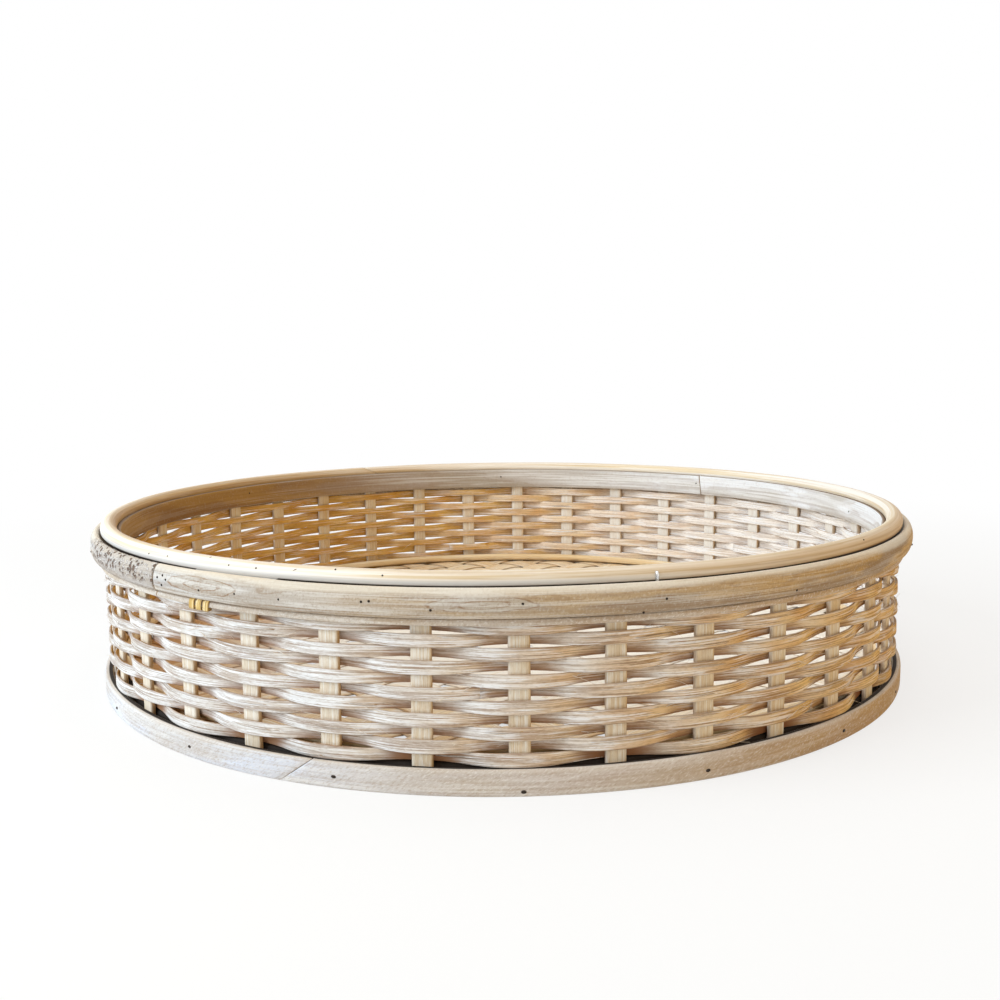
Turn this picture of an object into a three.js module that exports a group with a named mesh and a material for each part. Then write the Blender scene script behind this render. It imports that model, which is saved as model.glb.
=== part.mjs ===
// A round, shallow rattan tray. Flat stakes stand in a circle and flat weavers pass before and behind
// them, row by row. Two bent bands and a round cane finish the rim. A band outside, a hoop inside and
// a thin cane hold the edge of the woven base.
// Millimetres, +Z up, origin at the centre of the face that the tray stands on. The front faces -Y,
// and angles run from the front towards +X.
import * as THREE from "three";

// Driving dimensions
const fit = 0.3; // clearance left between pieces that touch
const stakeCount = 36; // even, so that every row alternates all the way round
const firstStakeDegrees = 1.7;
const closeStake = 5; // where the stakes start to stand closer, on the right
const closeGaps = 6; // gaps of that stretch, one more than its length would hold
const wallRadius = 191.5; // to the middle of the stakes
const stakeWidth = 7.8;
const stakeThickness = 2;
const stakeFootGap = 0.6; // the stakes stop just above the floor

const rowCount = 11;
const weaverWidth = 4.4;
const weaverThickness = 1.2;
const rowGap = 0.35; // between the edges of neighbouring rows
const weaverLead = 1; // how far a weaver stays straight past a stake's edge
const weaverSeam = 0.4; // between a row's two ends, behind a stake
const seamStep = 10; // stakes from one row's seam to the next one's, even

const baseBandHeight = 9.7;
const baseBandThickness = 4;
const baseBandRound = 1.2;
const baseBandJoint = -2.5; // where its ends meet, counted in even steps from the first stake
const baseBandJointLean = 10; // how far the scarf joint runs along the band
const hoopThickness = 5;
const hoopJoint = 7.5;
const matThickness = 2;
const matPitch = 18; // of the base's flat strips, which cross each other at 45 degrees to the front
const matOpening = 3.6; // side of the square left open between four strips
const matBorder = 5; // from the middles of the outermost openings to the hoop under the mat's edge
const ringCaneDiameter = 4.5;
const ringCaneJoint = 10.5;

const rimBandHeight = 10.9;
const rimBandThickness = 7.2;
const rimBandRound = 1; // at the lower inner edge
const rimBandRise = 2; // from the highest row to the rim band
const rimBandJoint = -4.4;
const rimBandJointLean = 1.5;
const innerBandThickness = 4;
const innerBandRise = 1.3; // from the highest row to the inner band
const innerBandJoint = 13.5;
const innerBandLip = 0.3; // width of the inner band's top edge
const topCaneDiameter = 8;
const topCaneOffset = 0.3; // the cane lies a little outside the stakes
const topCaneRise = 1.2; // from the top of the rim band to the middle of the cane
const topCaneJoint = -15.5;
const bandSeam = 0.5; // between the two ends of a bent band or cane

const reedHeight = 2.2;
const reedThickness = 2;
const reedRound = 0.5;
const reedJoint = -4.5;
const lashingTurns = 3;
const lashingWidth = 2.3;
const lashingThickness = 0.5;
const lashingPitch = 3.2; // along the reed, from turn to turn
const lashingFlat = 0.7; // share of its width that is flat
const lashingPlace = -3.65; // counted in even steps from the first stake

// Counts that set how finely curves are drawn
const facetsPerStep = 2;
const caneSides = 8;
const bulgeSteps = 6;
const lashingSteps = 24;
const lashingSquareness = 4; // 2 winds in an ellipse, more hugs the corners of the reed
const shortestFacet = 0.1; // share of a facet that is still drawn next to a joint

// Places worked out from the driving dimensions
const evenStep = (2 * Math.PI) / stakeCount;
const firstStake = THREE.MathUtils.degToRad(firstStakeDegrees);
const facetAngle = evenStep / facetsPerStep;
const outerSeat = wallRadius + stakeThickness / 2 + fit; // what bears on the stakes from outside
const innerSeat = wallRadius - stakeThickness / 2 - fit;
const weaverOffset = stakeThickness / 2 + fit + weaverThickness / 2;
const wallOutside = wallRadius + weaverOffset + weaverThickness / 2;
const wallInside = wallRadius - weaverOffset - weaverThickness / 2;
const rowPitch = weaverWidth + rowGap;
const weaveBottom = baseBandHeight + fit;
const weaveTop = weaveBottom + (rowCount - 1) * rowPitch + weaverWidth;
const rimBandBottom = weaveTop + rimBandRise;
const rimBandTop = rimBandBottom + rimBandHeight;
const topCaneRadius = wallRadius + topCaneOffset;
const topCaneHeight = rimBandTop + topCaneRise;
const caneBed = (topCaneDiameter / 2 + fit) * Math.SQRT2; // reach of the 45 degree bed under the cane
const stakeTop = topCaneHeight - topCaneDiameter / 2 - fit;
const matBottom = baseBandHeight + fit;
const matRadius = wallInside - fit;
const ringCaneRadius = matRadius - ringCaneDiameter / 2;
const ringCaneHeight = matBottom + matThickness + fit + ringCaneDiameter / 2;
const lashingRoom = lashingThickness + 2 * fit; // over the reed, for the lashing to pass
const reedTop = rimBandBottom - lashingRoom;
const reedBottom = reedTop - reedHeight;
const reedSeat = wallOutside + fit;

const whitewash = finish(0xc9b8a4, 0.8);
const paleBand = finish(0xbdb2a4, 0.75);
const cane = finish(0xd9c39a, 0.45);
const weaver = finish(0xcdb193, 0.75);
const stake = finish(0xdcc9a6, 0.7);
const mat = finish(0xc8a878, 0.75);
const peel = finish(0xc9a24a, 0.4);

function finish(color, roughness) {
  return new THREE.MeshStandardMaterial({ color, roughness, metalness: 0 });
}

function around(angle, radius, z) {
  return new THREE.Vector3(radius * Math.sin(angle), -radius * Math.cos(angle), z);
}

// The stakes stand wide apart, as one fewer of them would, and a close stretch makes room for the last one.
function stakeAngle(index) {
  const turns = Math.floor(index / stakeCount);
  const step = index - turns * stakeCount;
  const wideStep = (2 * Math.PI) / (stakeCount - 1);
  const closer = THREE.MathUtils.clamp((step - closeStake) / closeGaps, 0, 1);
  return firstStake + turns * 2 * Math.PI + (step - closer) * wideStep;
}

// A solid through a row of sections, each a loop of as many points, closed by its two end sections.
function loft(sections) {
  const points = sections[0].length;
  const index = [];
  for (let s = 0; s + 1 < sections.length; s++) {
    for (let p = 0; p < points; p++) {
      const here = s * points + p;
      const next = s * points + ((p + 1) % points);
      index.push(here, next, next + points, here, next + points, here + points);
    }
  }
  const last = (sections.length - 1) * points;
  for (let p = 1; p + 1 < points; p++) {
    index.push(0, p + 1, p, last, last + p, last + p + 1);
  }
  const geometry = new THREE.BufferGeometry().setFromPoints(sections.flat());
  geometry.setIndex(index);
  if (volumeOf(geometry) < 0) geometry.setIndex(index.reverse());
  return geometry;
}

function volumeOf(geometry) {
  const position = geometry.getAttribute("position");
  const corners = [new THREE.Vector3(), new THREE.Vector3(), new THREE.Vector3()];
  let volume = 0;
  for (let i = 0; i < geometry.index.count; i += 3) {
    corners.forEach((corner, k) => corner.fromBufferAttribute(position, geometry.index.getX(i + k)));
    volume += corners[0].dot(corners[1].clone().cross(corners[2])) / 6;
  }
  return volume;
}

// A ring is drawn with flat facets. A profile's radii are to the middle of a facet, and this is how much
// further out the ring lies away from there.
function facetStretch(angle) {
  const facets = (angle - firstStake) / facetAngle;
  return 1 / Math.cos((facets - Math.round(facets)) * facetAngle);
}

// A strip or cane of the given profile, bent into a ring whose two ends meet at a joint. The profile is a
// list of [radius, height], and lean is how far the joint runs along the ring from foot to head.
function bentRing(profile, jointPlace, lean = 0) {
  const heights = profile.map(([, z]) => z);
  const middle = (Math.min(...heights) + Math.max(...heights)) / 2;
  const height = Math.max(...heights) - Math.min(...heights);
  const reach = Math.max(...profile.map(([radius]) => radius));
  const joint = firstStake + jointPlace * evenStep;
  const halfSeam = bandSeam / 2 / reach;
  const halfLean = lean / 2 / reach;
  const section = (angle, leaning) =>
    profile.map(([radius, z]) => {
      const at = angle + leaning * (lean / reach) * ((z - middle) / height);
      return around(at, radius * facetStretch(at), z);
    });
  const sections = [section(joint + halfSeam, 1)];
  const edge = firstStake + facetAngle / 2;
  const first = Math.ceil((joint + halfSeam + halfLean - edge) / facetAngle + shortestFacet);
  const end = joint + 2 * Math.PI - halfSeam;
  for (let k = first; edge + k * facetAngle < end - halfLean - shortestFacet * facetAngle; k++) {
    sections.push(section(edge + k * facetAngle, 0));
  }
  sections.push(section(end, 1));
  return loft(sections);
}

function roundProfile(radius, z, diameter) {
  return Array.from({ length: caneSides }, (_, k) => {
    const turn = ((k + 0.5) * 2 * Math.PI) / caneSides;
    return [radius + (diameter / 2) * Math.cos(turn), z + (diameter / 2) * Math.sin(turn)];
  });
}

// The rim band is a split pole: flat against the stakes, bulging outwards, and bevelled under the top cane.
function rimBandProfile() {
  const outside = outerSeat + rimBandThickness;
  const crest = topCaneRadius + caneBed + rimBandTop - topCaneHeight;
  const bedFoot = topCaneHeight + outerSeat - topCaneRadius - caneBed;
  const bulge = Array.from({ length: bulgeSteps + 1 }, (_, k) => {
    const turn = Math.PI / 2 - (k * Math.PI) / bulgeSteps;
    return [
      crest + (outside - crest) * Math.cos(turn),
      (rimBandTop + rimBandBottom) / 2 + (rimBandHeight / 2) * Math.sin(turn),
    ];
  });
  return [
    [outerSeat, bedFoot],
    ...bulge,
    [outerSeat + rimBandRound, rimBandBottom],
    [outerSeat, rimBandBottom + rimBandRound],
  ];
}

// The inner band is a flat strip, bevelled under the top cane as far as a narrow lip.
function innerBandProfile() {
  const inside = innerSeat - innerBandThickness;
  const bottom = weaveTop + innerBandRise;
  const bedAt = (radius) => topCaneHeight + topCaneRadius - radius - caneBed;
  const lip = inside + innerBandLip;
  return [
    [inside, bottom],
    [inside, bedAt(lip)],
    [lip, bedAt(lip)],
    [innerSeat, bedAt(innerSeat)],
    [innerSeat, bottom],
  ];
}

function baseBandProfile() {
  const outside = outerSeat + baseBandThickness;
  return [
    [outerSeat, 0],
    [outside - baseBandRound / 2, 0],
    [outside, baseBandRound],
    [outside, baseBandHeight - baseBandRound],
    [outside - baseBandRound, baseBandHeight],
    [outerSeat, baseBandHeight],
  ];
}

function hoopProfile() {
  const inside = innerSeat - hoopThickness;
  return [
    [inside, 0],
    [innerSeat, 0],
    [innerSeat, baseBandHeight],
    [inside, baseBandHeight],
  ];
}

function reedProfile() {
  const outside = reedSeat + reedThickness;
  return [
    [reedSeat, reedBottom],
    [outside - reedRound, reedBottom],
    [outside, reedBottom + reedRound],
    [outside, reedTop - reedRound],
    [outside - reedRound, reedTop],
    [reedSeat, reedTop],
  ];
}

// One row of weaving: straight across each stake, outside and inside by turns, ends behind a stake.
function weaverRow(row) {
  const z = weaveBottom + weaverWidth / 2 + row * rowPitch;
  const outsideAt = (stakeIndex) => (stakeIndex + row) % 2 === 0;
  const section = (stakeIndex, along) => {
    const angle = stakeAngle(stakeIndex);
    const middle = wallRadius + (outsideAt(stakeIndex) ? weaverOffset : -weaverOffset);
    const tangent = new THREE.Vector3(Math.cos(angle), Math.sin(angle), 0).multiplyScalar(along);
    const inside = middle - weaverThickness / 2;
    const outside = middle + weaverThickness / 2;
    const corner = (radius, up) => around(angle, radius, z + (up * weaverWidth) / 2).add(tangent);
    return [corner(inside, -1), corner(outside, -1), corner(outside, 1), corner(inside, 1)];
  };
  const straight = stakeWidth / 2 + weaverLead;
  const seamStake = row * seamStep + ((row + 1) % 2); // a stake that this row passes behind
  const sections = [section(seamStake, weaverSeam / 2), section(seamStake, straight)];
  for (let k = 1; k < stakeCount; k++) {
    sections.push(section(seamStake + k, -straight), section(seamStake + k, straight));
  }
  const back = seamStake + stakeCount;
  sections.push(section(back, -straight), section(back, -weaverSeam / 2));
  return loft(sections);
}

// How far a squared circle reaches in a direction, with its half width as 1.
function squareStretch(turn, power) {
  const sum = Math.abs(Math.cos(turn)) ** power + Math.abs(Math.sin(turn)) ** power;
  return sum ** (-1 / power);
}

// The lashing winds round the reed, part of the way between two stakes.
function reedLashing() {
  const middleAngle = firstStake + lashingPlace * evenStep;
  const reedMiddle = reedSeat + reedThickness / 2;
  const reedHeightMiddle = (reedTop + reedBottom) / 2;
  const halfAcross = reedThickness / 2 + fit + lashingThickness / 2;
  const halfUp = reedHeight / 2 + fit + lashingThickness / 2;
  const tangent = new THREE.Vector3(Math.cos(middleAngle), Math.sin(middleAngle), 0);
  const out = around(middleAngle, 1, 0);
  const up = new THREE.Vector3(0, 0, 1);
  const total = lashingTurns * lashingSteps;
  const sections = [];
  for (let k = 0; k <= total; k++) {
    const turn = Math.PI + (k * 2 * Math.PI) / lashingSteps; // starts and ends behind the reed
    const along = (k / total - 0.5) * lashingTurns * lashingPitch;
    const stretch = squareStretch(turn, lashingSquareness);
    const centre = around(middleAngle, reedMiddle * facetStretch(middleAngle), reedHeightMiddle)
      .addScaledVector(out, halfAcross * stretch * Math.cos(turn))
      .addScaledVector(up, halfUp * stretch * Math.sin(turn))
      .addScaledVector(tangent, along);
    const normal = new THREE.Vector3()
      .addScaledVector(out, Math.cos(turn) / halfAcross)
      .addScaledVector(up, Math.sin(turn) / halfUp)
      .normalize();
    const corner = (across, high) =>
      centre
        .clone()
        .addScaledVector(tangent, (across * lashingWidth) / 2)
        .addScaledVector(normal, (high * lashingThickness) / 2);
    const outer = [corner(-1, 0), corner(-lashingFlat, 1), corner(lashingFlat, 1)];
    const inner = [corner(1, 0), corner(lashingFlat, -1), corner(-lashingFlat, -1)];
    sections.push([...outer, ...inner]);
  }
  console.log("least gap between turns of the lashing: " + leastTurnGap(sections).toFixed(2) + " mm");
  return loft(sections);
}

// The least distance between points of the winding that are more than half a turn apart.
function leastTurnGap(sections) {
  let least = Infinity;
  sections.forEach((from, i) =>
    sections.slice(i + Math.ceil(lashingSteps / 2)).forEach((to) =>
      from.forEach((a) =>
        to.forEach((b) => {
          least = Math.min(least, a.distanceTo(b));
        }),
      ),
    ),
  );
  return least;
}

// The plaited base is drawn as one disc, open where two pairs of neighbouring strips cross. It is drawn at
// a slant and then turned back, so that no row of openings lies level while its faces are cut into triangles.
function baseMat() {
  const slant = 0.3;
  const centre = new THREE.Vector2();
  const edgeRadius = matRadius / Math.cos(facetAngle / 2);
  const edge = Array.from({ length: stakeCount * facetsPerStep }, (_, k) => {
    const { x, y } = around(firstStake + (k + 0.5) * facetAngle, edgeRadius, 0);
    return new THREE.Vector2(x, y).rotateAround(centre, slant);
  });
  const disc = new THREE.Shape(edge);
  const reach = innerSeat - hoopThickness - matBorder;
  const stripsEachSide = Math.floor(reach / matPitch);
  const halfOpening = matOpening * Math.SQRT1_2; // from an opening's middle to its corners
  for (let i = -stripsEachSide; i <= stripsEachSide; i++) {
    for (let j = -stripsEachSide; j <= stripsEachSide; j++) {
      const middle = new THREE.Vector2(i - j, i + j).multiplyScalar(matPitch * Math.SQRT1_2);
      if (middle.length() > reach) continue;
      const opening = [0, 1, 2, 3].map((quarter) => {
        const turn = (quarter * Math.PI) / 2;
        const corner = new THREE.Vector2(Math.cos(turn), Math.sin(turn)).multiplyScalar(halfOpening).add(middle);
        return corner.rotateAround(centre, slant);
      });
      disc.holes.push(new THREE.Path(opening));
    }
  }
  return new THREE.ExtrudeGeometry(disc, { depth: matThickness, bevelEnabled: false }).rotateZ(-slant);
}

const tray = new THREE.Group();

function place(name, geometry, material) {
  const mesh = new THREE.Mesh(geometry, material);
  mesh.name = name;
  tray.add(mesh);
  return mesh;
}

const twoDigits = (number) => String(number).padStart(2, "0");

for (let i = 0; i < stakeCount; i++) {
  const angle = stakeAngle(i);
  const height = stakeTop - stakeFootGap;
  const strip = new THREE.BoxGeometry(stakeWidth, stakeThickness, height);
  const mesh = place("stake_" + twoDigits(i + 1), strip, stake);
  mesh.position.copy(around(angle, wallRadius, stakeFootGap + height / 2));
  mesh.rotation.z = angle;
}

for (let row = 0; row < rowCount; row++) {
  place("weaver_row_" + twoDigits(row + 1), weaverRow(row), weaver);
}

place("base_outer_band", bentRing(baseBandProfile(), baseBandJoint, baseBandJointLean), whitewash);
place("base_inner_hoop", bentRing(hoopProfile(), hoopJoint), whitewash);
place("base_mat", baseMat(), mat).position.z = matBottom;
const ringCaneProfile = roundProfile(ringCaneRadius, ringCaneHeight, ringCaneDiameter);
place("base_ring_cane", bentRing(ringCaneProfile, ringCaneJoint), cane);

place("rim_outer_band", bentRing(rimBandProfile(), rimBandJoint, rimBandJointLean), whitewash);
place("rim_inner_band", bentRing(innerBandProfile(), innerBandJoint), paleBand);
const topCaneProfile = roundProfile(topCaneRadius, topCaneHeight, topCaneDiameter);
place("rim_top_cane", bentRing(topCaneProfile, topCaneJoint), cane);
place("rim_lower_reed", bentRing(reedProfile(), reedJoint), whitewash);
place("reed_lashing", reedLashing(), peel);

export default tray;
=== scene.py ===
import math
import random

import bmesh
import bpy
from mathutils import Matrix, Vector, noise


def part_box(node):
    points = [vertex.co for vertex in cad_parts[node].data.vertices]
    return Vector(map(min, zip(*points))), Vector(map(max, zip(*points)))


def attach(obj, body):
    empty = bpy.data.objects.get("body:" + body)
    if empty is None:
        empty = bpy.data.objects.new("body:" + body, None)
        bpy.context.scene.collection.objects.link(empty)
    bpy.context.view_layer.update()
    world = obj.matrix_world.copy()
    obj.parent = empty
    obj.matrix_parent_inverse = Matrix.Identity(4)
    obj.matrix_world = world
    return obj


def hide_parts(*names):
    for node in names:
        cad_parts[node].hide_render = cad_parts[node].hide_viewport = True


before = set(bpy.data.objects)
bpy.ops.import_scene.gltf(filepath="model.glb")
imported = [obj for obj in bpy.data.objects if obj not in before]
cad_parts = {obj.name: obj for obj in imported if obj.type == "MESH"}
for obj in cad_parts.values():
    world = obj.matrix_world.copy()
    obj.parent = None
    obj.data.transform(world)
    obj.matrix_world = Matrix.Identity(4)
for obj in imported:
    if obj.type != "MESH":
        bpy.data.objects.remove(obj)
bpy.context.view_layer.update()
mm = 0.001
fullTurn = 2 * math.pi


# Measures taken from the frame. Angles run from the front towards +X

def heightsOf(node):
    low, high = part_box(node)
    return low.z, high.z


def middleOf(node):
    low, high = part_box(node)
    return (low + high) / 2


def angleOf(point):
    return math.atan2(point.x, -point.y)


def around(angle, radius, z):
    return Vector((radius * math.sin(angle), -radius * math.cos(angle), z))


def onward(angle):
    return Vector((math.cos(angle), math.sin(angle), 0))


stakeNodes = sorted(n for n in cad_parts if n.startswith("stake_"))
rowNodes = sorted(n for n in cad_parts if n.startswith("weaver_row_"))
stakeAngles = [angleOf(middleOf(n)) % fullTurn for n in stakeNodes]
stakeCount = len(stakeNodes)
wallRadius = middleOf(stakeNodes[0]).to_2d().length
stakeStep = fullTurn / stakeCount


def stakeAngle(place):
    whole = math.floor(place)

    def at(index):
        return stakeAngles[index % stakeCount] + index // stakeCount * fullTurn

    return at(whole) + (place - whole) * (at(whole + 1) - at(whole))


# Small shaping helpers

def soft(edge0, edge1, x):
    t = min(max((x - edge0) / (edge1 - edge0), 0), 1)
    return t * t * (3 - 2 * t)


def powered(x, power):
    return math.copysign(abs(x) ** power, x)


def drift(a, b, c=0.0):
    return noise.noise(Vector((a, b, c)))  # smooth and the same on every run


# Colours are written as screen values from 0 to 255

def paint(red, green, blue):
    def linear(value):
        v = value / 255
        return v / 12.92 if v <= 0.04045 else ((v + 0.055) / 1.055) ** 2.4
    return (linear(red), linear(green), linear(blue), 1)


# Node helpers

def addNode(tree, kind, **settings):
    node = tree.nodes.new(kind)
    for key, value in settings.items():
        setattr(node, key, value)
    return node


def feed(tree, socket, value):
    if isinstance(value, bpy.types.NodeSocket):
        tree.links.new(value, socket)
    else:
        socket.default_value = value


def pairOf(tree, kind, operation, a, b):
    node = addNode(tree, kind, operation=operation)
    feed(tree, node.inputs[0], a)
    feed(tree, node.inputs[1], b)
    return node.outputs[0]


def mathOf(tree, operation, a, b=0.0):
    return pairOf(tree, "ShaderNodeMath", operation, a, b)


def times(tree, a, b):
    return mathOf(tree, "MULTIPLY", a, b)


def plus(tree, a, b):
    return mathOf(tree, "ADD", a, b)


def minus(tree, a, b):
    return mathOf(tree, "SUBTRACT", a, b)


def divided(tree, a, b):
    return mathOf(tree, "DIVIDE", a, b)


def larger(tree, a, b):
    return mathOf(tree, "MAXIMUM", a, b)


def sizeOf(tree, a):
    return mathOf(tree, "ABSOLUTE", a)


def scaled(tree, vector, scale):
    return pairOf(tree, "ShaderNodeVectorMath", "MULTIPLY", vector, scale)


def lengthOf(tree, vector):
    node = addNode(tree, "ShaderNodeVectorMath", operation="LENGTH")
    feed(tree, node.inputs[0], vector)
    return node.outputs["Value"]


def noiseOf(tree, vector, scale, detail=3, roughness=0.55):
    node = addNode(tree, "ShaderNodeTexNoise")
    feed(tree, node.inputs["Vector"], vector)
    node.inputs["Scale"].default_value = scale
    node.inputs["Detail"].default_value = detail
    node.inputs["Roughness"].default_value = roughness
    return node.outputs["Fac"]


def stepOf(tree, value, low, high, toLow=0, toHigh=1):
    node = addNode(tree, "ShaderNodeMapRange", interpolation_type="SMOOTHSTEP")
    feed(tree, node.inputs["Value"], value)
    feed(tree, node.inputs["From Min"], low)
    feed(tree, node.inputs["From Max"], high)
    feed(tree, node.inputs["To Min"], toLow)
    feed(tree, node.inputs["To Max"], toHigh)
    return node.outputs["Result"]


def partsOf(tree, vector):
    node = addNode(tree, "ShaderNodeSeparateXYZ")
    feed(tree, node.inputs[0], vector)
    return node.outputs


def blendOf(tree, factor, a, b):
    node = addNode(tree, "ShaderNodeMix", data_type="RGBA")
    feed(tree, node.inputs[0], factor)
    feed(tree, node.inputs[6], a)
    feed(tree, node.inputs[7], b)
    return node.outputs[2]


socketKinds = {"Grain": "NodeSocketVector", "Wood": "NodeSocketColor", "Deep": "NodeSocketColor",
               "Chalk": "NodeSocketColor", "Colour": "NodeSocketColor"}  # all the others are numbers


def newGroup(name, inputs, outputs):
    tree = bpy.data.node_groups.new(name, "ShaderNodeTree")
    for way, titles in (("INPUT", inputs), ("OUTPUT", outputs)):
        for title in titles:
            kind = socketKinds.get(title, "NodeSocketFloat")
            tree.interface.new_socket(title, in_out=way, socket_type=kind)
    return tree, addNode(tree, "NodeGroupInput"), addNode(tree, "NodeGroupOutput")


def placeGroup(tree, group, **values):
    node = addNode(tree, "ShaderNodeGroup", node_tree=group)
    for title, value in values.items():
        feed(tree, node.inputs[title], value)
    return node.outputs


# Lengthwise fibres of split cane: thin lines, broad streaks and slow patches
fibreLayers = {"Lines": {"length": "LineLength", "longer": 1, "wider": 1, "detail": 2},
               "Streaks": {"length": "LineLength", "longer": 1.7, "wider": 3.6, "detail": 2},
               "Patches": {"length": "PatchLength", "longer": 1, "wider": 5.5, "detail": 3}}


def makeFibreGroup():
    inputs = ("Grain", "LineLength", "LineWidth", "PatchLength")
    tree, into, out = newGroup("splitCaneFibre", inputs, fibreLayers)
    get = into.outputs
    inMm = scaled(tree, get["Grain"], (1 / mm, 1 / mm, 1 / mm))
    for title, layer in fibreLayers.items():
        acrossRate = divided(tree, 1 / layer["wider"], get["LineWidth"])
        rates = addNode(tree, "ShaderNodeCombineXYZ")
        feed(tree, rates.inputs[0], divided(tree, 1 / layer["longer"], get[layer["length"]]))
        feed(tree, rates.inputs[1], acrossRate)
        feed(tree, rates.inputs[2], acrossRate)
        stretched = scaled(tree, inMm, rates.outputs[0])
        feed(tree, out.inputs[title], noiseOf(tree, stretched, 1, layer["detail"]))
    return tree


# Chalky white left in the surface, over a wood colour with dark lines
washSet = {"deepLine": 0.42, "deepStreak": 0.44, "streakShare": 0.6, "chalkLine": 0.52, "patch": (0.4, 0.58),
           "fray": 0.4, "smear": (0.77, 0.87), "smearShare": 0.85}


def makeWashGroup():
    inputs = ("Wood", "Deep", "Chalk", "Lines", "Streaks", "Patches", "DeepAmount", "ChalkAmount", "Spread")
    tree, into, out = newGroup("chalkWash", inputs, ("Colour",))
    get = into.outputs

    def near(title, middle, way):
        reach = times(tree, get["Spread"], way)
        return stepOf(tree, get[title], minus(tree, middle, reach), plus(tree, middle, reach))

    deepStreak = times(tree, near("Streaks", washSet["deepStreak"], -1), washSet["streakShare"])
    deepMask = larger(tree, near("Lines", washSet["deepLine"], -1), deepStreak)
    wooden = blendOf(tree, times(tree, deepMask, get["DeepAmount"]), get["Wood"], get["Deep"])
    chalkPatch = stepOf(tree, get["Patches"], *washSet["patch"])
    chalkLine = times(tree, near("Lines", washSet["chalkLine"], 1), chalkPatch)
    # the lines fray the edges of the chalky patches
    frayed = plus(tree, get["Patches"], times(tree, get["Lines"], washSet["fray"]))
    smear = stepOf(tree, frayed, *washSet["smear"], 0, washSet["smearShare"])
    chalkShare = times(tree, larger(tree, chalkLine, smear), get["ChalkAmount"])
    feed(tree, out.inputs["Colour"], blendOf(tree, chalkShare, wooden, get["Chalk"]))
    return tree


# Small round pits, each with its own chance of being there
pitFloor = 0.55  # the share of its size at which a pit is fully deep


def makePitGroup():
    tree, into, out = newGroup("smallPits", ("Grain", "Spacing", "Size", "Share"), ("Mask",))
    get = into.outputs
    cells = addNode(tree, "ShaderNodeTexVoronoi")
    feed(tree, cells.inputs["Vector"], get["Grain"])
    feed(tree, cells.inputs["Scale"], divided(tree, 1 / mm, get["Spacing"]))
    inside = stepOf(tree, cells.outputs["Distance"], get["Size"], times(tree, get["Size"], pitFloor))
    chance = addNode(tree, "ShaderNodeSeparateColor")
    feed(tree, chance.inputs[0], cells.outputs["Color"])
    kept = mathOf(tree, "LESS_THAN", chance.outputs[0], get["Share"])
    feed(tree, out.inputs["Mask"], times(tree, inside, kept))
    return tree


# An oval of year rings where the pole was sanded through them: 0 in its middle, 1 at its rim
ovalSet = {"waver": 0.5, "waverRates": (110, 420, 420)}


def makeOvalGroup():
    tree, into, out = newGroup("ringOval", ("Grain", "Along", "Height", "Length", "Rise"), ("Reach",))
    get = into.outputs
    along, _, high = partsOf(tree, get["Grain"])

    def squared(value, middle, reach):
        share = divided(tree, minus(tree, value, get[middle]), get[reach])
        return mathOf(tree, "POWER", sizeOf(tree, share), 2)

    squares = plus(tree, squared(along, "Along", "Length"), squared(high, "Height", "Rise"))
    waver = noiseOf(tree, scaled(tree, get["Grain"], ovalSet["waverRates"]), 1, 2)
    reach = plus(tree, mathOf(tree, "SQRT", squares), times(tree, waver, ovalSet["waver"]))
    feed(tree, out.inputs["Reach"], minus(tree, reach, ovalSet["waver"] / 2))
    return tree


fibreGroup = makeFibreGroup()
washGroup = makeWashGroup()
pitGroup = makePitGroup()
ovalGroup = makeOvalGroup()


def newMaterial(name, roughness, specular=0.18):
    material = bpy.data.materials.new(name)
    material.use_nodes = True
    tree = material.node_tree
    shader = tree.nodes["Principled BSDF"]
    shader.inputs["Roughness"].default_value = roughness
    shader.inputs["Specular IOR Level"].default_value = specular
    grain = addNode(tree, "ShaderNodeAttribute", attribute_name="grain")
    return material, tree, shader, grain.outputs["Vector"]


def addBump(tree, shader, height, depth):
    bump = addNode(tree, "ShaderNodeBump")
    bump.inputs["Distance"].default_value = depth
    feed(tree, bump.inputs["Height"], height)
    feed(tree, shader.inputs["Normal"], bump.outputs["Normal"])


def fibresOf(tree, grain, look):
    return placeGroup(tree, fibreGroup, Grain=grain, LineLength=look["lineLength"],
                      LineWidth=look["lineWidth"], PatchLength=look["patchLength"])


def washed(tree, wood, deep, deepAmount, warmSideLight, fibres, spread, look):
    lines, streaks, patches = fibres
    # more chalk where the pale colours are: painted side light over the real whitewash
    chalkAmount = stepOf(tree, warmSideLight, 0, 1, *look["chalkAmount"])
    return placeGroup(tree, washGroup, Wood=wood, Deep=deep, Chalk=look["chalk"], Lines=lines,
                      Streaks=streaks, Patches=patches, DeepAmount=deepAmount, ChalkAmount=chalkAmount,
                      Spread=spread)[0]


# Painted side light: faces towards +X take the warm colours and faces towards -X the pale ones, with the
# middle colour between
paintedSideSet = {"warmSideLight": (-0.6, 1.1), "middle": (-0.65, 0), "warm": (0, 0.85)}


def paintedSideLight(tree, side, lean=0.0):
    coords = addNode(tree, "ShaderNodeTexCoord")
    facing = partsOf(tree, coords.outputs["Normal"])[0]
    return stepOf(tree, plus(tree, facing, lean), *paintedSideSet[side])


def paintedSideColour(tree, look):
    paler = blendOf(tree, paintedSideLight(tree, "middle"), look["pale"], look["middle"])
    return blendOf(tree, paintedSideLight(tree, "warm"), paler, look["warm"])
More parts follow.
